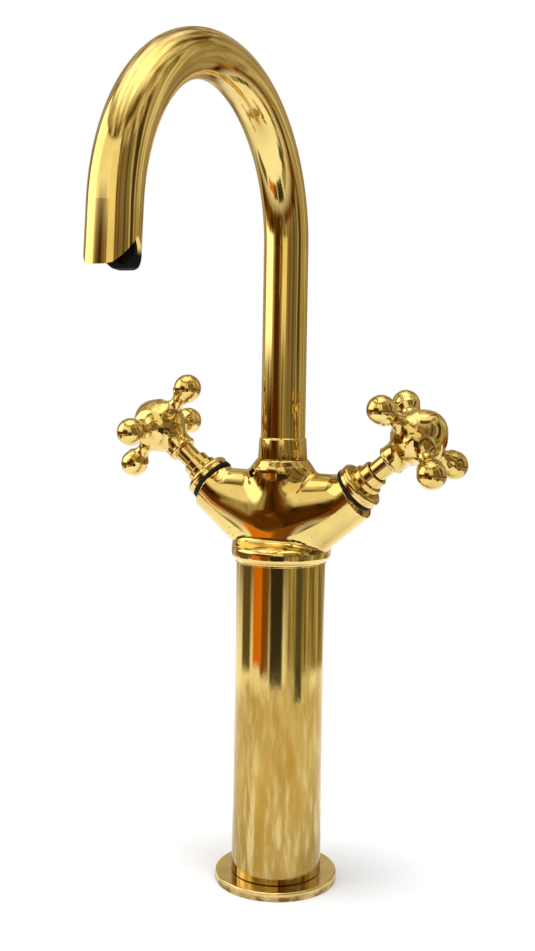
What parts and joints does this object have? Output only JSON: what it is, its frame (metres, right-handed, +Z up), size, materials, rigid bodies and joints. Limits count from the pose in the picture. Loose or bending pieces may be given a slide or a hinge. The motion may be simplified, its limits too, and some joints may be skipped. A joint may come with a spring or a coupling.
{
  "type": "vessel basin mixer tap",
  "caption": "Tall deck-mounted basin mixer tap with a column, a Y-shaped valve body, cross handles and a swivelling gooseneck spout.",
  "frame": {"origin": "centre of the round foot on the counter's surface", "axes": "+Z up along the column; the spout points to -Y at rest; hot handle on -X, cold handle on +X"},
  "size_m": [0.1806, 0.1956, 0.3904],
  "materials": {
    "polished_brass": "polished, unlacquered",
    "satin_brass": "satin",
    "black_rubber": "matt",
    "black_plastic": "matt",
    "white_plastic": "matt",
    "ceramic": "ground and polished",
    "steel": "bright"
  },
  "bodies": {
    "tap_body": {"base_flange": "satin_brass", "base_gasket": "black_rubber", "column": "polished_brass", "base_plug": "satin_brass", "valve_body": "polished_brass", "swivel_washer": "white_plastic", "swivel_screw": "steel", "hot_bonnet": "polished_brass", "hot_arm_ring": "black_rubber", "hot_seat_seal": "black_rubber", "hot_fixed_disc": "ceramic", "cold_bonnet": "polished_brass", "cold_arm_ring": "black_rubber", "cold_seat_seal": "black_rubber", "cold_fixed_disc": "ceramic"},
    "spout": {"spout_tube": "polished_brass", "spout_collar": "polished_brass", "spout_spigot": "satin_brass", "spigot_orings": "black_rubber", "outlet_sleeve": "black_plastic", "outlet_grid": "black_plastic", "outlet_washer": "black_rubber"},
    "hot_valve": {"hot_handle": "polished_brass", "hot_spindle": "polished_brass", "hot_moving_disc": "ceramic", "hot_spindle_oring": "black_rubber", "hot_grub_screw": "steel"},
    "cold_valve": {"cold_handle": "polished_brass", "cold_spindle": "polished_brass", "cold_moving_disc": "ceramic", "cold_spindle_oring": "black_rubber", "cold_grub_screw": "steel"}
  },
  "joints": [
    {"name": "spout_swivel", "type": "hinge", "parent": "tap_body", "child": "spout", "pos_m": [0, 0, 0.202], "axis": [0, 0, 1], "continuous": true},
    {"name": "hot_handle_turn", "type": "hinge", "parent": "tap_body", "child": "hot_valve", "pos_m": [0, 0, 0.1573], "axis": [-0.766, 0, 0.6428], "range_deg": [0, 90]},
    {"name": "cold_handle_turn", "type": "hinge", "parent": "tap_body", "child": "cold_valve", "pos_m": [0, 0, 0.1573], "axis": [0.766, 0, 0.6428], "range_deg": [-90, 0]}
  ]
}
